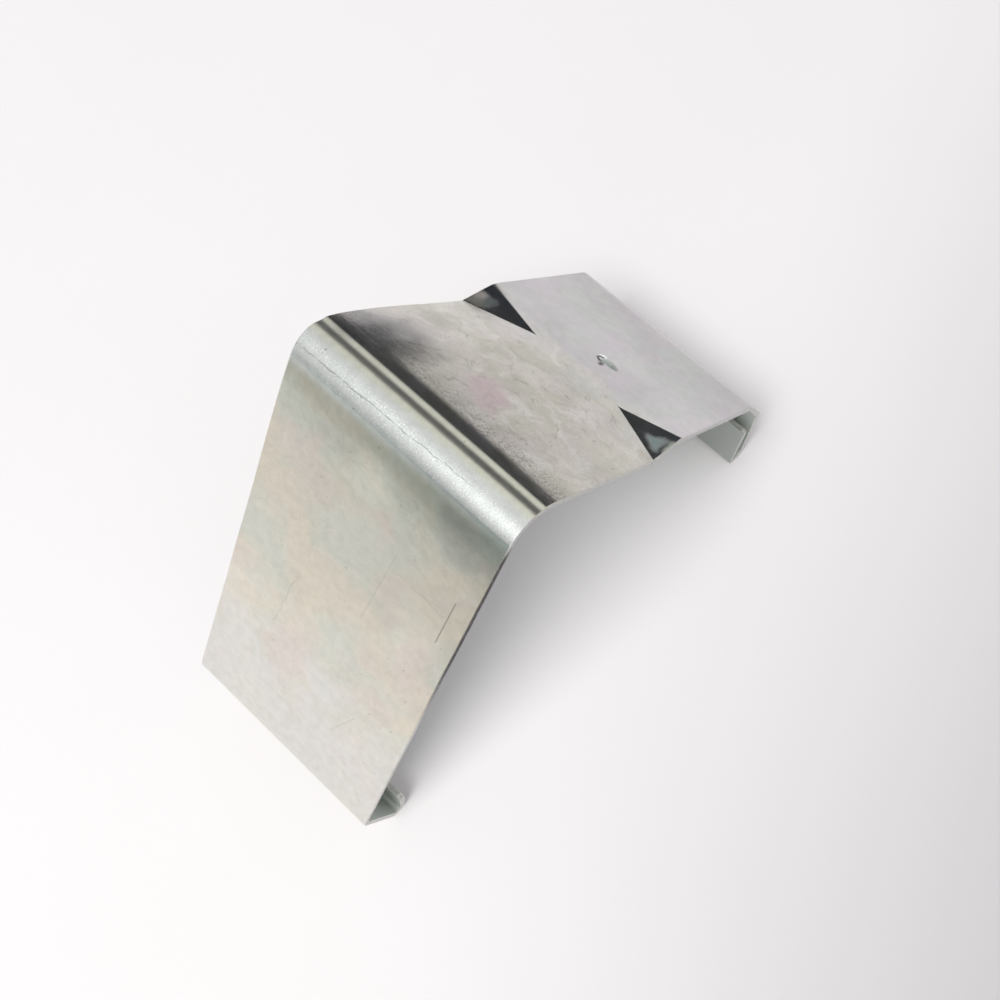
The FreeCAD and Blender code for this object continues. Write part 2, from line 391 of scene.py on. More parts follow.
rd = np.array([p[1] for p in ring])
M = len(ring)


def place(x, z, nx, ny, nz, s, y, d):
    """Points of the sheet from its base surface and normal."""
    top = 1.0 - smooth(d / 0.18)
    off = shift(s, y) + outer_only(s, y) * top - d
    # the sheared edges are a little uneven (only ever inwards)
    edge = 1.0 - smooth(np.minimum(y, WIDTH - y) / 0.6)
    sign = np.where(y < WIDTH / 2, 1.0, -1.0)
    w = 0.5 + 0.5 * np.sin(s * 0.9 + 1.3 * np.sin(s * 0.37) + sign)
    v = 0.5 + 0.5 * np.sin(s * 3.1 + 2.0 * np.sin(s * 1.3) + 2 * sign)
    yy = y + sign * edge * (0.018 * w + 0.012 * v)
    return np.stack([x + nx * off, yy + ny * off, z + nz * off], 1)


verts, info = [], []


def add(points, s, y, d):
    verts.append(points)
    info.append(np.stack([s, y, d], 1))


def fixed_row(x, z, h, s, y0=0.0, y1=WIDTH, d0=0.0, d1=T):
    nx, nz = left(h)
    y = y0 + ry / WIDTH * (y1 - y0)
    d = d0 + rd / T * (d1 - d0)
    o = np.ones(M)
    add(place(x * o, z * o, nx * o, 0 * o, nz * o, s * o, y, d), s * o, y, d)


RE = 0.12  # rounding of the lips' end faces


def tip_rows(x, z, h, s, back, outward):
    """Rounded end of a lip, from (x, z): rows from back to tip."""
    rows = []
    for a in list(np.linspace(CORNER_R, 0.16, 6)) + [0.12]:
        rows.append((a, 0.0))
    for deg in (30, 60, 90):
        r = math.radians(deg)
        rows.append((RE * (1 - math.sin(r)), RE * (1 - math.cos(r))))
    out = []
    for a, inset in rows:
        corner = CORNER_R - math.sqrt(max(CORNER_R**2 - (CORNER_R - a) ** 2, 0.0))
        corner = min(corner, CORNER_R * 0.9)
        q = np.array((x, z)) + outward * (-a)
        out.append((q[0], q[1], h, s, corner + inset, inset, a))
    return out


# first lip: from its tip inwards
x0, z0, h0, s0 = rows1[0]
for q in reversed(tip_rows(x0, z0, h0, s0, None, -unit(h0))):
    fixed_row(q[0], q[1], q[2], q[3] + q[6], q[4], WIDTH - q[4], q[5], T - q[5])
for x, z, h, s in rows1[1:]:
    if s - s0 > CORNER_R + 0.02:
        fixed_row(x, z, h, s)

# panel
EPS = 0.02
for kind, v in rows_p:
    s = panel_s(kind, v, ry)
    h = h_panel(s, ry)
    hs = (h_panel(s + EPS, ry) - h_panel(s - EPS, ry)) / (2 * EPS)
    hy = (h_panel(s, ry + EPS) - h_panel(s, ry - EPS)) / (2 * EPS)
    blend = smooth((s - S0) / 2.0) * smooth((S3 - s) / 1.5)
    hs = hs * blend + math.tan(math.radians(P2_H - P1_H)) * (1 - blend) * (s > SA)
    hy = hy * blend
    xz = panel_xz(s, h)
    n = np.stack(
        [n1[0] - hs * u1[0], -hy, n1[1] - hs * u1[1]], 1
    )
    n = n / np.linalg.norm(n, axis=1)[:, None]
    add(
        place(xz[:, 0], xz[:, 1], n[:, 0], n[:, 1], n[:, 2], s + OFF, ry, rd),
        s + OFF,
        ry,
        rd,
    )

# far hook
for x, z, h, s in two.rows[1:]:
    if tip_s - s > CORNER_R + 0.02:
        fixed_row(x, z, h, s)
hx = two.h
for q in tip_rows(two.p[0], two.p[1], hx, tip_s, None, unit(hx)):
    fixed_row(q[0], q[1], q[2], q[3] - q[6], q[4], WIDTH - q[4], q[5], T - q[5])

N = len(verts)
P = np.concatenate(verts)
A = np.concatenate(info)

# stand it where the CAD body stands
lo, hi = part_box("clip_body")
lo, hi = np.array(lo) * 1000.0, np.array(hi) * 1000.0
P[:, 1] -= WIDTH / 2
prof = []
for rows in (rows1, two.rows):
    for x, z, h, s in rows:
        prof.append((x, z))
prof = np.array(prof)
P[:, 0] += 0.5 * (lo[0] + hi[0]) - 0.5 * (prof[:, 0].min() + prof[:, 0].max())
P[:, 2] += lo[2] - prof[:, 1].min()
P[:, 2] = np.maximum(P[:, 2], lo[2] + 1e-4)
P[:, 0] = np.clip(P[:, 0], lo[0] + 1e-4, hi[0] - 1e-4)
P[:, 2] = np.minimum(P[:, 2], hi[2] - 1e-4)
P[:, 1] = np.clip(P[:, 1], lo[1], hi[1])

i = np.arange(N - 1)[:, None] * M
j = np.arange(M)[None, :]
j2 = (j + 1) % M
quads = np.stack([i + j, i + j2, i + M + j2, i + M + j], 2).reshape(-1, 4)
faces = [tuple(int(v) for v in q) for q in quads]


def fan(row, flip):
    """Not used: gives back the row's first index and the flip flag."""
    base = row * M
    mids = []
    return base, flip


mesh = bpy.data.meshes.new("clip_strip")
cap0 = list(range(0, M))
cap1 = list(range((N - 1) * M, N * M))
faces.append(tuple(cap0))
faces.append(tuple(reversed(cap1)))
mesh.from_pydata([tuple(v) for v in (P / 1000.0)], [], faces)
mesh.update()
mesh.validate()
att = mesh.attributes.new("strip", "FLOAT_VECTOR", "POINT")
att.data.foreach_set("vector", A.astype(np.float32).ravel())
mesh.polygons.foreach_set("use_smooth", [True] * len(mesh.polygons))
for poly in list(mesh.polygons)[-2:]:
    poly.use_smooth = False
mesh.update()
clip = bpy.data.objects.new("clip_sheet", mesh)
bpy.context.scene.collection.objects.link(clip)

# outward faces
import bmesh
bm = bmesh.new()
bm.from_mesh(mesh)
bmesh.ops.recalc_face_normals(bm, faces=bm.faces)
bm.to_mesh(mesh)
bm.free()


# ======================================================================
# 2. Materials
# ======================================================================
class Graph:
    def __init__(self, mat):
        mat.use_nodes = True
        self.t = mat.node_tree
        self.t.nodes.clear()

    def new(self, kind, **props):
        n = self.t.nodes.new(kind)
        for k, v in props.items():
            setattr(n, k, v)
        return n

    def put(self, sock, v):
        if isinstance(v, bpy.types.NodeSocket):
            self.t.links.new(v, sock)
        elif isinstance(v, (tuple, list)) and sock.type == "RGBA":
            sock.default_value = tuple(v) + ((1.0,) if len(v) == 3 else ())
        else:
            sock.default_value = v

    def math(self, op, a, b=None, c=None, clamp=False):
        n = self.new("ShaderNodeMath", operation=op, use_clamp=clamp)
        self.put(n.inputs[0], a)
        if b is not None:
            self.put(n.inputs[1], b)
        if c is not None:
            self.put(n.inputs[2], c)
        return n.outputs[0]

    def mul(self, a, b):
        return self.math("MULTIPLY", a, b)

    def add(self, a, b):
        return self.math("ADD", a, b)

    def sub(self, a, b):
        return self.math("SUBTRACT", a, b)

    def step(self, v, lo, hi, a=0.0, b=1.0):
        """Smooth step of v from lo to hi, giving a to b."""
        n = self.new("ShaderNodeMapRange", interpolation_type="SMOOTHSTEP")
        self.put(n.inputs["Value"], v)
        flip = hi < lo
        n.inputs["From Min"].default_value = min(lo, hi)
        n.inputs["From Max"].default_value = max(lo, hi)
        n.inputs["To Min"].default_value = b if flip else a
        n.inputs["To Max"].default_value = a if flip else b
        return n.outputs["Result"]

    def vec(self, x, y, z=0.0):
        n = self.new("ShaderNodeCombineXYZ")
        self.put(n.inputs[0], x)
        self.put(n.inputs[1], y)
        self.put(n.inputs[2], z)
        return n.outputs[0]

    def vmath(self, op, a, b=None):
        n = self.new("ShaderNodeVectorMath", operation=op)
        self.put(n.inputs[0], a)
        if b is not None:
            self.put(n.inputs[1], b)
        return n.outputs["Value"] if op in ("LENGTH", "DOT_PRODUCT", "DISTANCE") else n.outputs[0]

    def scale(self, v, sx, sy, sz=1.0, off=(0, 0, 0)):
        n = self.new("ShaderNodeMapping")
        self.put(n.inputs["Vector"], v)
        n.inputs["Scale"].default_value = (sx, sy, sz)
        n.inputs["Location"].default_value = off
        return n.outputs[0]

    def rot(self, v, deg, sx, sy):
        n = self.new("ShaderNodeMapping")
        n.vector_type = "POINT"
        self.put(n.inputs["Vector"], v)
        n.inputs["Rotation"].default_value = (0, 0, math.radians(deg))
        n.inputs["Scale"].default_value = (1, 1, 1)
        m = self.new("ShaderNodeMapping")
        self.put(m.inputs["Vector"], n.outputs[0])
        m.inputs["Scale"].default_value = (sx, sy, 1)
        return m.outputs[0]

    def noise(self, v, scale, detail=3.0, rough=0.5, dist=0.0, color=False):
        n = self.new("ShaderNodeTexNoise", noise_dimensions="3D")
        self.put(n.inputs["Vector"], v)
        n.inputs["Scale"].default_value = scale
        n.inputs["Detail"].default_value = detail
        n.inputs["Roughness"].default_value = rough
        n.inputs["Distortion"].default_value = dist
        return n.outputs["Color" if color else "Fac"]

    def mix(self, f, a, b, mode="MIX"):
        n = self.new("ShaderNodeMix", data_type="RGBA", blend_type=mode)
        n.clamp_factor = True
        self.put(n.inputs[0], f)
        self.put(n.inputs[6], a)
        self.put(n.inputs[7], b)
        return n.outputs[2]

    def mixf(self, f, a, b):
        n = self.new("ShaderNodeMix", data_type="FLOAT")
        n.clamp_factor = True
        self.put(n.inputs[0], f)
        self.put(n.inputs[2], a)
        self.put(n.inputs[3], b)
        return n.outputs[0]

    def spot(self, v, s, y, rs, ry_, lo=0.4, hi=1.0):
        """Soft elliptical patch about (s, y): 1 inside, 0 outside."""
        q = self.vmath("SUBTRACT", v, (s, y, 0))
        q = self.vmath("MULTIPLY", q, (1 / rs, 1 / ry_, 0))
        return self.step(self.vmath("LENGTH", q), lo, hi, 1.0, 0.0)

    def tri(self, v, pts, soft):
        """Soft triangle on the strip (corners given anticlockwise)."""
        out = None
        for k in range(3):
            a, b = pts[k], pts[(k + 1) % 3]
            L = math.hypot(b[0] - a[0], b[1] - a[1])
            n = (-(b[1] - a[1]) / L, (b[0] - a[0]) / L, 0)
            q = self.vmath("DOT_PRODUCT", self.vmath("SUBTRACT", v, (a[0], a[1], 0)), n)
            m = self.step(q, -soft, soft)
            out = m if out is None else self.mul(out, m)
        return out

    def seg(self, v, a, b, w):
        """Thin line from a to b on the strip: 1 on it."""
        d = (b[0] - a[0], b[1] - a[1])
        L = d[0] ** 2 + d[1] ** 2
        q = self.vmath("SUBTRACT", v, (a[0], a[1], 0))
        t = self.vmath("DOT_PRODUCT", q, (d[0] / L, d[1] / L, 0))
        t = self.math("MULTIPLY", t, 1.0, clamp=True)
        on = self.vmath("MULTIPLY", self.vec(t, t, 0.0), (d[0], d[1], 0))
        dist = self.vmath("DISTANCE", q, on)
        return self.step(dist, w, w * 0.35, 0.0, 1.0)


def zinc():
    mat = bpy.data.materials.new("zinc_plate")
    g = Graph(mat)
    at = g.new("ShaderNodeAttribute", attribute_name="strip")
    p = at.outputs["Vector"]
    sep = g.new("ShaderNodeSeparateXYZ")
    g.put(sep.inputs[0], p)
    s, y, d = sep.outputs
    flatv = g.vmath("MULTIPLY", p, (1, 1, 0))

    # wandering copies of the coordinates, for ragged patch borders
    w1 = g.vmath("SUBTRACT", g.noise(flatv, 0.12, 2.0, 0.5, color=True), (0.5, 0.5, 0.5))
    wv = g.vmath("ADD", flatv, g.vmath("MULTIPLY", w1, (10.0, 10.0, 0.0)))
    w2 = g.vmath("SUBTRACT", g.noise(flatv, 0.50, 3.0, 0.6, color=True), (0.5, 0.5, 0.5))
    wv2 = g.vmath("ADD", wv, g.vmath("MULTIPLY", w2, (2.4, 2.4, 0.0)))
    near = g.vmath("ADD", flatv, g.vmath("MULTIPLY", w2, (1.6, 1.6, 0.0)))

    on_leg = g.step(s, 0.8, -1.6)
    on_p1 = g.step(s, LB - 0.8, LB + 1.5)
    far_s = g.add(s, g.mul(g.sub(g.noise(flatv, 0.16, 3.0, 0.5), 0.5), 26.0))
    on_p2 = g.step(far_s, SB1 + OFF - 6.0, SB2 + OFF + 5.0)
    on_bend = g.mul(g.step(s, -1.8, 0.8), g.step(s, LB - 2.2, LB - 3.6))

    A = g.noise(wv2, 0.12, 3.0, 0.5)
    A2 = g.noise(g.scale(wv, 1, 1, 1, (13, 71, 0)), 0.075, 2.0, 0.5)
    B2 = g.noise(g.scale(wv, 1, 1, 1, (-37, 9, 0)), 0.085, 2.0, 0.5)
    B = g.noise(g.scale(wv2, 1, 1, 1, (31, 17, 0)), 0.10, 3.0, 0.5)
    C = g.noise(g.scale(wv2, 1, 1, 1, (-23, 41, 0)), 0.17, 3.0, 0.5)
    D = g.noise(g.scale(wv2, 1, 1, 1, (57, -19, 0)), 0.26, 4.0, 0.55)
    mott = g.noise(g.scale(flatv, 1, 1, 1, (5, 3, 0)), 0.60, 4.0, 0.6)
    fine = g.noise(g.scale(flatv, 1, 1, 1, (15, 8, 0)), 1.9, 3.0, 0.6)
    # fine hair-like strokes in several directions
    k1 = g.noise(g.rot(wv, 24, 1.0, 6.5), 1.0, 2.0, 0.5)
    k2 = g.noise(g.rot(wv, -38, 1.1, 6.0), 1.0, 2.0, 0.5)
    k3 = g.noise(g.rot(flatv, 82, 0.6, 6.5), 1.0, 2.0, 0.5)
    strokes = g.mul(g.add(g.add(k1, k2), k3), 1 / 3.0)

    # leg: cream with green-grey, pinkish and, low down, whiter clouds
    leg = g.mix(g.step(A2, 0.40, 0.60, 0.0, 1.0), (0.728, 0.680, 0.572), (0.668, 0.676, 0.598))
    leg = g.mix(g.step(B2, 0.50, 0.66, 0.0, 0.75), leg, (0.705, 0.640, 0.580))
    leg = g.mix(g.step(D, 0.52, 0.70, 0.0, 0.40), leg, (0.765, 0.738, 0.660))
    leg = g.mix(g.step(A, 0.54, 0.68, 0.0, 0.30), leg, (0.640, 0.630, 0.560))
    low = g.step(g.add(s, g.mul(g.sub(C, 0.5), 50.0)), -40.0, -62.0)
    leg = g.mix(g.mul(low, 0.75), leg, (0.735, 0.730, 0.708))
    # painted dark reflection: the leg darkens towards the bend
    upper_leg_painted_dark_reflection = g.step(g.add(s, g.mul(g.sub(A, 0.5), 30.0)), -52.0, -20.0, 1.01, 0.89)
    leg = g.mix(1.0, leg, g.vec(upper_leg_painted_dark_reflection, upper_leg_painted_dark_reflection, upper_leg_painted_dark_reflection), "MULTIPLY")
    leg = g.mix(g.mul(g.spot(wv2, -31.0, 5.0, 8.0, 5.0), 0.5), leg, (0.715, 0.605, 0.560))
    leg = g.mix(g.mul(g.spot(wv2, -50.0, 24.0, 11.0, 6.0), 0.5), leg, (0.715, 0.628, 0.575))
    # painted reflection: a darker patch by the bend at the near edge, lighter patches beside it and lower down
    for cs, cy, rs, ry, k in ((-4.8, 6.2, 5.0, 6.0, 0.80), (-6.5, 21.0, 5.0, 6.0, 1.16), (-28.0, 7.5, 9.0, 6.0, 1.09)):
        f = g.add(1.0, g.mul(g.spot(wv2, cs, cy, rs, ry, 0.1, 1.0), k - 1.0))
        leg = g.mix(1.0, leg, g.vec(f, f, f), "MULTIPLY")
    # upper panel: warm grey, olive, pinkish
    up = g.mix(g.step(A, 0.40, 0.58, 0.0, 0.95), (0.645, 0.626, 0.568), (0.553, 0.550, 0.466))
    up = g.mix(g.step(B, 0.48, 0.62, 0.0, 0.55), up, (0.635, 0.588, 0.562))
    up = g.mix(g.step(C, 0.50, 0.64, 0.0, 0.75), up, (0.705, 0.690, 0.640))
    up = g.mix(g.step(D, 0.52, 0.64, 0.0, 0.55), up, (0.520, 0.500, 0.440))
    up = g.mix(g.mul(g.spot(wv2, 21.0, 18.5, 6.5, 4.5), 0.75), up, (0.620, 0.500, 0.520))
    up = g.mix(g.mul(g.spot(wv2, 38.5, 17.0, 5.5, 5.0), 0.45), up, (0.500, 0.468, 0.420))
    up = g.mix(1.0, up, (1.055, 1.055, 1.06), "MULTIPLY")
    # painted shade: darker by the near edge, lighter towards the far side
    for cs, cy, rs, ry, k in ((24.0, 3.5, 7.0, 4.2, 0.87), (25.0, 26.5, 5.0, 4.0, 1.08)):
        f = g.add(1.0, g.mul(g.spot(wv2, cs, cy, rs, ry, 0.1, 1.0), k - 1.0))
        up = g.mix(1.0, up, g.vec(f, f, f), "MULTIPLY")
    f = g.sub(1.0, g.mul(g.spot(near, 28.5, 33.8, 8.0, 5.0, 0.2, 1.0), 0.18))
    up = g.mix(1.0, up, g.vec(f, f, f), "MULTIPLY")
    # lower panel: neutral, faintly lavender and green
    down = g.mix(g.step(A, 0.40, 0.62, 0.0, 0.85), (0.592, 0.588, 0.594), (0.565, 0.598, 0.572))
    down = g.mix(g.step(B, 0.48, 0.62, 0.0, 0.75), down, (0.612, 0.574, 0.606))
    down = g.mix(g.step(C, 0.50, 0.66, 0.0, 0.55), down, (0.640, 0.636, 0.620))
    cloud = g.step(g.add(A2, g.mul(g.sub(D, 0.5), 0.35)), 0.36, 0.64, 0.965, 1.045)
    down = g.mix(1.0, down, g.vec(cloud, cloud, cloud), "MULTIPLY")
    # painted shade: the lower panel darkens towards its far end, where it turns down
    painted_far_end_shade = g.step(g.add(s, g.mul(g.sub(B, 0.5), 14.0)), 66.0, 82.0, 1.0, 0.84)
    down = g.mix(1.0, down, g.vec(painted_far_end_shade, painted_far_end_shade, painted_far_end_shade), "MULTIPLY")
    col = g.mix(on_leg, (0.725, 0.725, 0.620), leg)
    col = g.mix(on_p1, col, up)
    col = g.mix(on_p2, col, down)
    # silvery band along the middle of the bend, a painted highlight tint
    painted_highlight_tint_band = g.mul(on_bend, g.step(g.add(s, g.mul(g.sub(k3, 0.5), 2.0)), 5.4, 4.0))
    col = g.mix(painted_highlight_tint_band, col, (0.735, 0.752, 0.738))
    m = g.mul(g.mixf(on_leg, 1.0, g.step(strokes, 0.36, 0.64, 0.962, 1.038)), g.step(mott, 0.30, 0.70, 0.955, 1.045))
    fm = g.mul(g.mul(on_p1, g.sub(1.0, on_p2)), 0.055)
    m = g.mul(m, g.add(1.0, g.mul(fm, g.step(fine, 0.3, 0.7, -1.0, 1.0))))
    col = g.mix(1.0, col, g.vec(m, m, m), "MULTIPLY")

    # painted dark reflection at the far corner of the upper panel, where the dark band past the bend spreads
    painted_dark_reflection_corner = g.mul(g.spot(wv2, LB + 6.0, 34.5, 11.0, 6.5, 0.2, 1.0), 0.66)
    col = g.mix(painted_dark_reflection_corner, col, (0.255, 0.255, 0.275))
    # painted glints: white specks on the bend, with dark specks beside them
    gn = g.noise(g.scale(flatv, 1, 1, 1, (3, 91, 0)), 4.2, 1.0, 0.5)
    dens = g.noise(g.scale(flatv, 1, 1, 1, (61, 5, 0)), 0.8, 2.0, 0.5)
    band = g.mul(g.step(s, -1.0, 0.6), g.step(s, 4.6, 3.2))
    painted_bend_glints = g.mul(g.step(g.add(gn, g.mul(g.sub(dens, 0.5), 0.25)), 0.625, 0.69), g.mul(band, 0.70))
    col = g.mix(painted_bend_glints, col, (0.99, 1.0, 1.0))
    gd = g.mul(g.step(g.add(gn, g.mul(g.sub(dens, 0.5), 0.25)), 0.42, 0.34), g.mul(band, 0.25))
    col = g.mix(gd, col, (0.42, 0.47, 0.46))
    # painted dark reflection: dark flecks in the black band just past the bend
    edge2 = g.mul(g.step(s, LB + 0.8, LB + 2.6), g.step(s, LB + 8.0, LB + 3.6))
    painted_dark_reflection_flecks = g.mul(g.step(g.noise(g.scale(flatv, 1, 1, 1, (9, 2, 0)), 3.0, 2.0, 0.6), 0.52, 0.62), g.mul(edge2, 0.65))
    col = g.mix(painted_dark_reflection_flecks, col, (0.13, 0.12, 0.14))
    # broken hair lines in the plating
    vor = g.new("ShaderNodeTexVoronoi", feature="DISTANCE_TO_EDGE")
    g.put(vor.inputs["Vector"], g.vmath("ADD", flatv, g.vmath("MULTIPLY", w2, (5.0, 5.0, 0.0))))
    vor.inputs["Scale"].default_value = 0.30
    line = g.step(vor.outputs["Distance"], 0.036, 0.010, 0.0, 1.0)
    where = g.step(g.noise(g.scale(flatv, 1, 1, 1, (11, 53, 0)), 0.42, 2.0, 0.5), 0.53, 0.62)
    line = g.mul(g.mul(line, where), g.add(g.mul(g.mul(on_p1, g.sub(1.0, on_p2)), 0.33), 0.07))
    col = g.mix(line, col, (0.17, 0.16, 0.14))
    # specks
    sp = g.noise(g.scale(flatv, 1, 1, 1, (7, 29, 0)), 1.7, 1.0, 0.4)
    speck = g.mul(g.step(sp, 0.735, 0.775), g.add(g.mul(g.sub(1.0, on_p2), 0.40), 0.08))
    col = g.mix(speck, col, (0.18, 0.17, 0.15))
    # scratches
    scr = g.mul(g.seg(flatv, (-23.6, 3.1), (-14.6, 2.95), 0.13), 0.62)
    for a, b, w, k in (
        ((-18.2, 7.6), (-18.7, 3.6), 0.12, 0.32),
        ((-46.8, 27.6), (-34.0, 26.2), 0.12, 0.24),
        ((-31.5, 14.6), (-14.5, 13.2), 0.11, 0.18),
        ((-58.0, 12.0), (-50.5, 9.0), 0.11, 0.20),
        ((16.0, 30.0), (21.0, 27.5), 0.12, 0.40),
        ((33.0, 14.0), (37.5, 11.0), 0.12, 0.38),
        ((24.0, 8.5), (28.0, 10.5), 0.12, 0.34),
    ):
        scr = g.math("MAXIMUM", scr, g.mul(g.seg(near if w == 0.12 else flatv, a, b, w), k))
    col = g.mix(scr, col, (0.20, 0.15, 0.13))
    # fine dark line running along the bend, drifting towards the panel
    wob = g.mul(g.sub(g.noise(flatv, 0.30, 4.0, 0.65), 0.5), 1.3)
    lw = g.math("ABSOLUTE", g.sub(g.add(s, g.add(wob, g.mul(y, 0.036))), 3.38))
    hair = g.mul(g.step(lw, 0.13, 0.03, 0.0, 1.0), g.step(dens, 0.36, 0.56, 0.18, 0.66))
    hair = g.mul(hair, g.step(y, 6.0, 11.0))
    col = g.mix(hair, col, (0.28, 0.31, 0.31))

    # pressed darts: matt patches inside
    matt1 = g.mul(g.tri(near, ((44.7, 1.0), (48.6, 0.9), (46.5, 4.1)), 0.75), 1.0)
    matt2 = g.mul(g.step(y, 0.85, 0.1), g.mul(g.step(s, 45.0, 46.8), g.step(s, 49.8, 48.2)))
    olive = g.mul(g.step(y, 33.6, 36.6), g.mul(g.step(s, 43.2, 45.0), g.step(g.add(s, g.mul(g.sub(D, 0.5), 4.0)), 48.8, 44.8)))
    olive = g.mul(olive, g.step(fine, 0.35, 0.62, 0.55, 0.95))
    rose = g.mul(g.spot(near, 46.9, 37.0, 2.0, 1.4, 0.1, 1.0), 0.95)
    teal = g.mul(g.spot(near, 46.9, 35.0, 2.0, 2.0, 0.1, 1.0), 0.55)
    col = g.mix(matt1, col, (0.43, 0.515, 0.515))
    col = g.mix(matt2, col, (0.66, 0.70, 0.62))
    col = g.mix(olive, col, (0.42, 0.40, 0.34))
    col = g.mix(teal, col, (0.38, 0.47, 0.50))
    col = g.mix(rose, col, (0.56, 0.51, 0.50))
    # the pip: painted light, a glint on top, a shadow at its uphill foot, a pale lit ridge and a darker grey-green
    # shade at its near end
    ps, py = SB2 + PIP_FROM_DART + OFF, PIP_Y
    painted_pip_foot_shadow = g.spot(flatv, ps - 2.2, py + 0.25, 1.35, 0.60, 0.1, 1.0)
    pip = g.spot(flatv, ps, py - 0.05, 1.45, 2.15, 0.70, 1.0)
    painted_pip_end_shade = g.spot(flatv, ps - 0.1, py - 1.25, 1.35, 0.85, 0.3, 1.0)
    painted_pip_glint = g.spot(flatv, ps, py + 1.2, 1.10, 0.75, 0.6, 1.0)
    col = g.mix(g.mul(painted_pip_foot_shadow, 0.85), col, (0.15, 0.16, 0.15))
    col = g.mix(g.mul(pip, 0.90), col, (0.70, 0.78, 0.71))
    col = g.mix(g.mul(painted_pip_end_shade, 0.75), col, (0.50, 0.55, 0.49))
    col = g.mix(painted_pip_glint, col, (0.99, 1.0, 0.99))

    # far lip: painted shade, greener and a little darker
    far_lip_painted_shade = g.step(s, tip_s - 13.5, tip_s - 11.0)
    col = g.mix(g.mul(far_lip_painted_shade, 0.9), col, (0.455, 0.490, 0.460))

    # inner skin: plain, a little greyer
    inner = g.step(d, 0.90, 0.97)
    col = g.mix(inner, col, (0.60, 0.635, 0.600))
    # sheared edge; along the upper half of the leg it is dark
    cut = g.mul(g.step(d, 0.10, 0.22), g.step(d, 0.97, 0.90))
    cutn = g.noise(g.scale(p, 1.2, 1.0, 6.0), 1.0, 3.0, 0.6)
    cutc = g.mix(g.step(cutn, 0.35, 0.65), (0.42, 0.42, 0.41), (0.66, 0.65, 0.62))
    col = g.mix(cut, col, cutc)
    rag = g.noise(g.scale(p, 1.6, 1.0, 2.0, (3, 0, 9)), 1.0, 3.0, 0.7)
    low_e = g.math("MAXIMUM", g.step(d, 0.00, 0.05), g.step(y, 0.16, 0.05))
    # the near edge along the upper leg is made near-black and non-metallic, with a ragged border
    dark_rim = g.mul(g.mul(g.step(s, -44.0, -24.0), g.step(s, 0.6, -2.6)), g.mul(g.step(y, 1.0, 0.5), low_e))
    dark_rim = g.mul(g.mul(dark_rim, g.step(rag, 0.30, 0.46, 0.25, 1.0)), g.step(d, 1.0, 0.9))
    col = g.mix(g.mul(dark_rim, 0.92), col, (0.045, 0.042, 0.045))

    rough = g.mixf(on_leg, 0.22, 0.24)
    rough = g.mixf(on_bend, rough, 0.24)
    rough = g.mixf(on_p2, rough, 0.23)
    in_dart = g.mul(g.step(s, SB1 + OFF - 0.2, SB1 + OFF + 1.0), g.step(s, SB2 + OFF + 0.2, SB2 + OFF - 1.0))
    rough = g.mixf(in_dart, rough, 0.17)
    rough = g.mixf(matt1, rough, 0.62)
    rough = g.mixf(matt2, rough, 0.62)
    rough = g.mixf(olive, rough, 0.50)
    rough = g.mixf(teal, rough, 0.50)
    rough = g.mixf(rose, rough, 0.66)
    rough = g.mixf(g.math("MAXIMUM", pip, painted_pip_foot_shadow), rough, 0.55)
    rough = g.mixf(painted_pip_glint, rough, 0.20)
    rough = g.mixf(inner, rough, 0.42)
    rough = g.mixf(cut, rough, 0.45)
    rough = g.mixf(dark_rim, rough, 0.75)
    metal = g.mul(g.mixf(inner, 1.0, 0.45), g.sub(1.0, dark_rim))

    # surface relief, millimetres
    gr = g.noise(flatv, 2.7, 2.0, 0.5)
    gr2 = g.noise(flatv, 1.0, 3.0, 0.6)
    gr3 = g.noise(flatv, 0.35, 2.0, 0.5)
    fineg = g.noise(flatv, 5.2, 1.0, 0.5)
    amp = g.add(g.mixf(on_leg, 0.0016, 0.0012), g.mul(band, 0.004))
    amp = g.mixf(on_p2, amp, 0.0004)
    ragged = g.mul(g.step(s, LB - 0.3, LB + 0.9), g.step(s, LB + 15.0, LB + 4.0))
    h = g.mul(gr, g.add(amp, g.mul(ragged, 0.005)))
    h = g.add(h, g.mul(fineg, g.mul(band, 0.0065)))
    h = g.add(h, g.mul(gr2, g.mixf(ragged, g.mixf(on_p2, 0.0016, 0.0006), 0.010)))
    h = g.add(h, g.mul(gr3, g.mixf(on_p2, 0.012, 0.004)))
    h = g.sub(h, g.mul(g.math("MAXIMUM", scr, hair), 0.004))
    bump = g.new("ShaderNodeBump")
    bump.inputs["Strength"].default_value = 1.0
    bump.inputs["Distance"].default_value = 0.001
    g.put(bump.inputs["Height"], h)

    bsdf = g.new("ShaderNodeBsdfPrincipled")
    g.put(bsdf.inputs["Metallic"], metal)
    bsdf.inputs["Specular IOR Level"].default_value = 0.2
    g.put(bsdf.inputs["Base Color"], col)
    g.put(bsdf.inputs["Roughness"], rough)
    g.put(bsdf.inputs["Normal"], bump.outputs[0])
    out = g.new("ShaderNodeOutputMaterial")
    g.put(out.inputs[0], bsdf.outputs[0])
    return mat


clip.data.materials.append(zinc())
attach(clip, "root")
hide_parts("clip_body")


# ======================================================================
# 3. Floor, light, camera
# ======================================================================
def plane(name, corners, mat):
    me = bpy.data.meshes.new(name)
    me.from_pydata([tuple(c) for c in corners], [], [tuple(range(len(corners)))])
    me.update()
    me.materials.append(mat)
    ob = bpy.data.objects.new(name, me)
    bpy.context.scene.collection.objects.link(ob)
    return ob


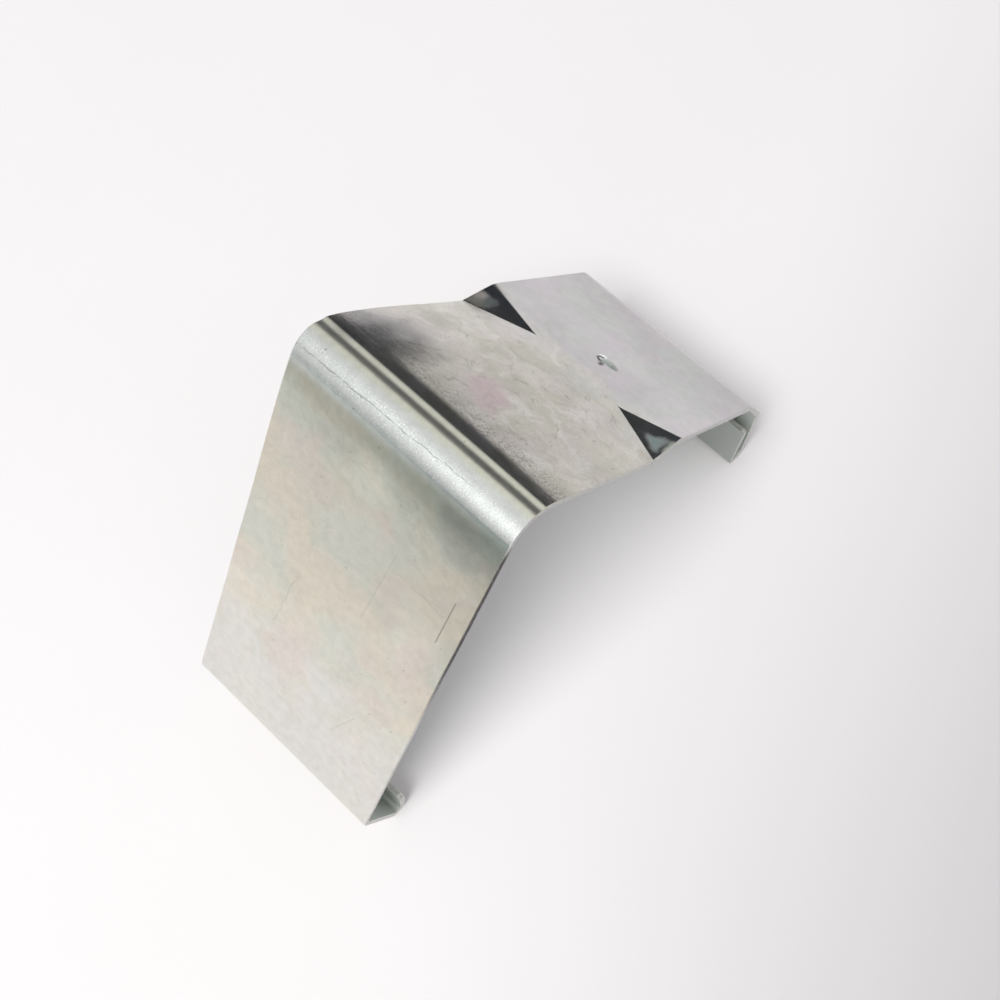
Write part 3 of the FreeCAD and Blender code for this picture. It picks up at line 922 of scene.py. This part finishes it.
def floor_material():
    mat = bpy.data.materials.new("pale_floor")
    g = Graph(mat)
    co = g.new("ShaderNodeTexCoord")
    v = co.outputs["Object"]
    n = g.noise(v, 9.0, 3.0, 0.5)
    c = g.mix(g.step(n, 0.3, 0.7), (0.800, 0.795, 0.790), (0.812, 0.809, 0.806))
    b = g.new("ShaderNodeBsdfPrincipled")
    g.put(b.inputs["Base Color"], c)
    b.inputs["Roughness"].default_value = 0.85
    b.inputs["Specular IOR Level"].default_value = 0.15
    out = g.new("ShaderNodeOutputMaterial")
    g.put(out.inputs[0], b.outputs[0])
    return mat


def flag_material(name, c1, c2, scale):
    mat = bpy.data.materials.new(name)
    g = Graph(mat)
    co = g.new("ShaderNodeTexCoord")
    n = g.noise(co.outputs["Object"], scale, 3.0, 0.5)
    c = g.mix(g.step(n, 0.38, 0.62), c1, c2)
    e = g.new("ShaderNodeEmission")
    g.put(e.inputs["Color"], c)
    out = g.new("ShaderNodeOutputMaterial")
    g.put(out.inputs[0], e.outputs[0])
    return mat


F = 3.0
plane("floor", [(-F, -F, 0), (F, -F, 0), (F, F, 0), (-F, F, 0)], floor_material())


def only_glossy(ob):
    ob.visible_camera = False
    ob.visible_diffuse = False
    ob.visible_shadow = False
    ob.visible_transmission = False
    ob.visible_volume_scatter = False


# dark board standing to the right (+X)
dark = flag_material("dark_side", (0.022, 0.023, 0.033), (0.050, 0.056, 0.062), 9.0)
XR, ZR = 0.26, 0.055 + 0.24 * math.tan(math.radians(28))
only_glossy(
    plane("flag_right", [(XR, -0.03, 0), (XR, 1.6, 0), (XR + 0.02, 1.6, ZR), (XR + 0.02, -0.03, ZR)], dark)
)
# low grey-green board standing to the left (-X)
grey = bpy.data.materials.new("grey_side")
gg = Graph(grey)
gc = gg.new("ShaderNodeTexCoord")
gs = gg.new("ShaderNodeSeparateXYZ")
gg.put(gs.inputs[0], gc.outputs["Object"])
ge = gg.new("ShaderNodeEmission")
gg.put(ge.inputs["Color"], gg.mix(gg.step(gs.outputs[1], 0.025, 0.095), (0.165, 0.222, 0.208), (0.410, 0.455, 0.440)))
go = gg.new("ShaderNodeOutputMaterial")
gg.put(go.inputs[0], ge.outputs[0])
LA, LC = (-0.150, -0.05), (-0.258, 0.16)
only_glossy(
    plane("flag_left", [(LA[0], LA[1], 0), (LC[0], LC[1], 0), (LC[0], LC[1], 0.055), (LA[0], LA[1], 0.055)], grey)
)


def arch_material():
    """Pale screen, brightest in a soft oblique stripe."""
    mat = bpy.data.materials.new("arch_pale")
    g = Graph(mat)
    co = g.new("ShaderNodeTexCoord")
    sep = g.new("ShaderNodeSeparateXYZ")
    g.put(sep.inputs[0], co.outputs["Object"])
    x, y, z = sep.outputs
    phi = g.math("ARCTAN2", g.mul(x, -1.0), g.sub(z, 0.07))
    k = g.math("MULTIPLY", g.sub(y, 0.258), 6.0)
    k = g.math("MINIMUM", g.math("MAXIMUM", k, -0.6), 1.5)
    off = g.math("ABSOLUTE", g.sub(phi, g.sub(0.77, g.mul(k, 0.31))))
    bump = g.step(off, 0.62, 0.02)
    base = g.mul(g.sub(0.83, g.mul(k, 0.10)), g.step(phi, 1.68, 1.30, 0.55, 1.0))
    e = g.add(base, g.mul(bump, g.sub(0.56, g.mul(k, 0.29))))
    e = g.add(e, g.mul(g.step(y, 0.50, 1.0, 0.0, 0.6), g.step(phi, -0.2, -0.6)))
    em = g.new("ShaderNodeEmission")
    em.inputs["Color"].default_value = (0.99, 1.0, 0.985, 1.0)
    g.put(em.inputs["Strength"], e)
    out = g.new("ShaderNodeOutputMaterial")
    g.put(out.inputs[0], em.outputs[0])
    return mat


# pale screen arching over the table from left to right
steps = [math.radians(97.0 - 160.0 * i / 48.0) for i in range(49)]
am = bpy.data.meshes.new("arch")
am.from_pydata(
    [(-math.sin(a), yy, 0.07 + math.cos(a)) for a in steps for yy in (-0.9, 1.5)],
    [],
    [(2 * i, 2 * i + 1, 2 * i + 3, 2 * i + 2) for i in range(48)],
)
am.materials.append(arch_material())
arch = bpy.data.objects.new("arch", am)
bpy.context.scene.collection.objects.link(arch)
only_glossy(arch)

world = bpy.data.worlds.new("studio")
bpy.context.scene.world = world
world.use_nodes = True
bg = world.node_tree.nodes["Background"]
bg.inputs["Color"].default_value = (0.785, 0.760, 0.797, 1.0)
bg.inputs["Strength"].default_value = 0.67


def soft_light(name, to, dist, size_up, size_side, strength, color):
    """Elliptical soft light: its long axis climbs towards the zenith."""
    ld = bpy.data.lights.new(name, "AREA")
    ld.shape = "ELLIPSE"
    ld.size, ld.size_y = size_up, size_side
    area = math.pi * 0.25 * size_up * size_side
    ld.energy = strength * area * math.pi       # strength is its radiance
    ld.color = color
    ob = bpy.data.objects.new(name, ld)
    z = Vector(to).normalized()
    y = Vector((0, 0, 1)).cross(z).normalized()
    x = y.cross(z)
    m = Matrix((x, y, z)).transposed().to_4x4()
    m.translation = Vector((0, 0, 0.04)) + z * dist
    ob.matrix_world = m
    bpy.context.scene.collection.objects.link(ob)
    return ob


key = soft_light("key", (-0.45, -0.070, 0.89), 1.30, 0.62, 0.52, 17.2, (1.0, 0.985, 0.972))
key.visible_glossy = False

# small card that shades the floor's corner on the -Y side
card = plane(
    "shade_card", [(-0.34, -0.55, 0.30), (0.02, -0.55, 0.30), (0.015, -0.06, 0.30), (-0.205, -0.112, 0.30)], dark
)
card.visible_camera = card.visible_glossy = card.visible_diffuse = False

cam_data = bpy.data.cameras.new("view")
cam_data.sensor_width = 36.0
cam_data.lens = 48.751
cam_data.clip_start = 0.01
cam = bpy.data.objects.new("view", cam_data)
cam.matrix_world = Matrix(
    (
        (0.68550835, 0.67794874, -0.26545019, -0.0560141409),
        (-0.72806386, 0.63889598, -0.24846518, -0.0546070895),
        (0.00114841, 0.36358964, 0.93155851, 0.2320722945),
        (0.0, 0.0, 0.0, 1.0),
    )
)
bpy.context.scene.collection.objects.link(cam)
bpy.context.scene.camera = cam
bpy.context.scene.view_settings.view_transform = "Standard"

bpy.context.view_layer.update()
